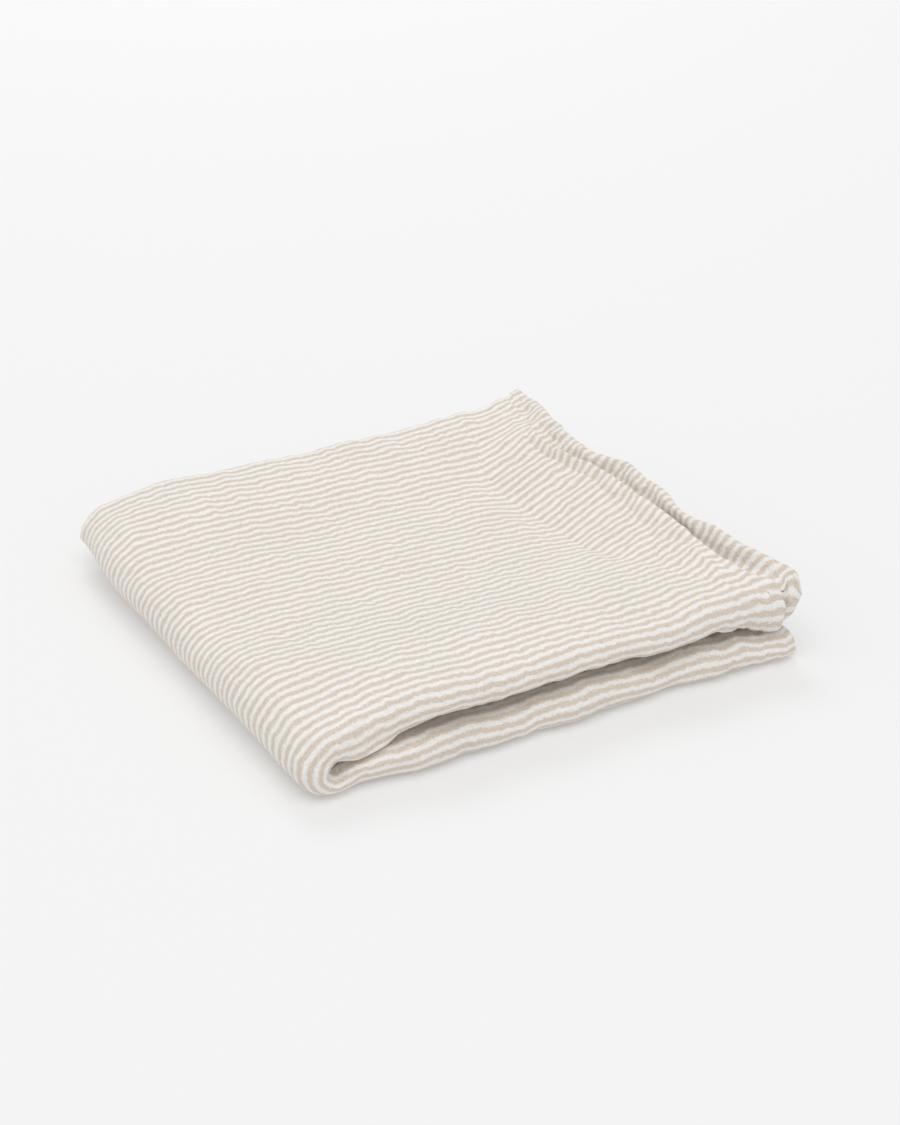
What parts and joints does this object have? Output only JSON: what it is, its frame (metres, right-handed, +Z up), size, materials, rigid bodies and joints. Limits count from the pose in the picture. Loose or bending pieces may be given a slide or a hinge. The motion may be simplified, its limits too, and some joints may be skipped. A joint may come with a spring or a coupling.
{
  "type": "folded baby wrap",
  "caption": "Square striped muslin baby wrap folded into a soft pad: a round fold at the left, folded front edges and hemmed free edges at the right.",
  "frame": {"origin": "centre of the folded pad's bounding box, on the surface it lies on", "axes": "+X along the stripes, from the round fold to the free edges; -Y towards the folded front edges; +Z up, away from the surface"},
  "size_m": [0.3, 0.3012, 0.0498],
  "materials": {
    "striped_muslin": "matte crinkled double gauze with even beige and white stripes",
    "muslin_hem": "matte turned and stitched double gauze",
    "sewing_thread": "matte cotton thread"
  },
  "bodies": {
    "lower_half": {"lower_outer_leaf": "striped_muslin", "lower_inner_leaf": "striped_muslin", "lower_side_fold": "striped_muslin", "lower_back_hem_1": "muslin_hem", "lower_back_hem_2": "muslin_hem", "lower_back_hem_3": "muslin_hem", "lower_back_hem_4": "muslin_hem"},
    "upper_half": {"upper_outer_leaf": "striped_muslin", "upper_inner_leaf": "striped_muslin", "upper_side_hem_outer": "muslin_hem", "upper_side_hem_inner": "muslin_hem", "upper_back_hem_1": "muslin_hem", "upper_back_hem_2": "muslin_hem", "upper_back_hem_3": "muslin_hem", "upper_back_hem_4": "muslin_hem", "outer_hem_thread": "sewing_thread", "inner_hem_thread": "sewing_thread"}
  },
  "joints": [
    {"name": "round_fold", "type": "hinge", "parent": "lower_half", "child": "upper_half", "pos_m": [-0.15, 0, 0.022], "axis": [0, -1, 0], "range_deg": [0, 178]}
  ]
}
